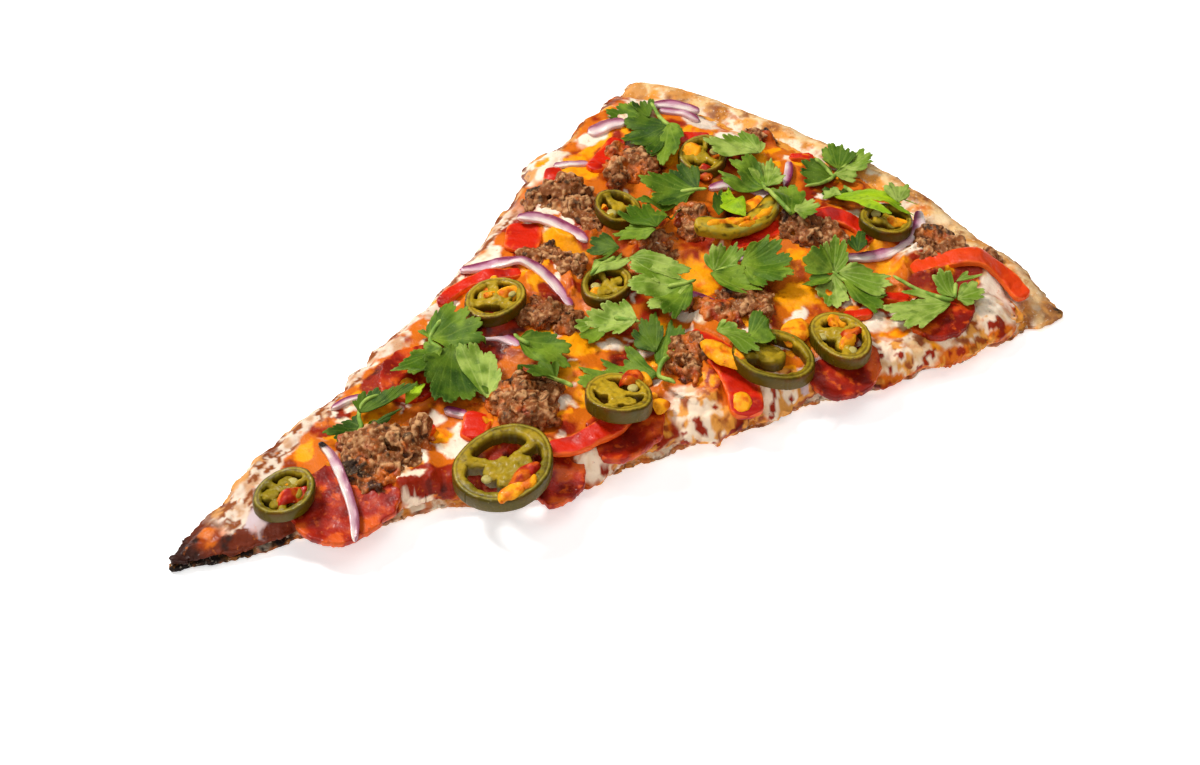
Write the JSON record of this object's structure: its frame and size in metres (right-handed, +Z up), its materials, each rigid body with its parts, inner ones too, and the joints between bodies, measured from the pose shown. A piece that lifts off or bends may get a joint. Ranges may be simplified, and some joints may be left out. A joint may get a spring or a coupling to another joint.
{
  "type": "pizza slice",
  "caption": "Thin round-rimmed pizza wedge with a charred edge, tomato sauce, melted cheese, browned beef, cured meat, jalapeno rings, red onion, pepper and cilantro.",
  "frame": {"origin": "on the flat underside of the crust, 120 mm from the tip along the slice's middle line", "axes": "+X from the tip towards the round rim, +Y to the left of that, +Z up out of the toppings"},
  "size_m": [0.1964, 0.1225, 0.0188],
  "materials": {
    "crust": "baked thin bread, browned and charred at the edge",
    "sauce": "wet dark red tomato sauce",
    "cheese": "melted white and orange cheese, oily, browned in spots",
    "cured": "thin cured meat, moist",
    "pepper": "roasted red pepper, glossy skin",
    "onion": "raw red onion, moist",
    "beef": "browned ground beef crumbs with fat on them",
    "jalapeno": "pickled green chilli, moist",
    "cilantro": "fresh thin leaf, satin"
  },
  "bodies": {
    "root": {"crust": "crust", "tomato_sauce": "sauce", "melted_cheese": "cheese", "cured_slice_corner": "cured", "cured_slice_far": "cured", "cured_slice_near_left": "cured", "cured_slice_near_middle": "cured", "cured_slice_near_right": "cured", "cured_slice_tip": "cured", "pepper_chunk_far": "pepper", "pepper_strip_corner": "pepper", "pepper_strip_far_left": "pepper", "pepper_strip_far_right": "pepper", "pepper_strip_middle": "pepper", "pepper_strip_near_cut": "pepper", "pepper_strip_near_jalapeno": "pepper", "onion_ring_middle": "onion", "onion_strip_corner_left": "onion", "onion_strip_far_long": "onion", "onion_strip_far_short": "onion", "onion_strip_middle": "onion", "onion_strip_near_rim": "onion", "onion_strip_tip": "onion", "beef_centre": "beef", "beef_centre_left": "beef", "beef_centre_right": "beef", "beef_far_middle": "beef", "beef_far_right": "beef", "beef_lower_left": "beef", "beef_lower_middle": "beef", "beef_near_cut": "beef", "beef_near_rim": "beef", "beef_rim": "beef", "beef_small_centre": "beef", "beef_tip": "beef", "jalapeno_centre": "jalapeno", "jalapeno_edge": "jalapeno", "jalapeno_far_left": "jalapeno", "jalapeno_far_right": "jalapeno", "jalapeno_far_small": "jalapeno", "jalapeno_large": "jalapeno", "jalapeno_near_middle": "jalapeno", "jalapeno_near_oval": "jalapeno", "jalapeno_near_rim": "jalapeno", "jalapeno_near_ring": "jalapeno", "jalapeno_tip": "jalapeno", "cilantro_centre": "cilantro", "cilantro_curled": "cilantro", "cilantro_far_middle": "cilantro", "cilantro_far_rim": "cilantro", "cilantro_large": "cilantro", "cilantro_lower_left": "cilantro", "cilantro_middle": "cilantro", "cilantro_near_middle": "cilantro", "cilantro_near_right": "cilantro", "cilantro_near_small": "cilantro", "cilantro_right_middle": "cilantro", "cilantro_rim_far": "cilantro", "cilantro_rim_middle": "cilantro", "cilantro_tip": "cilantro"}
  },
  "joints": []
}
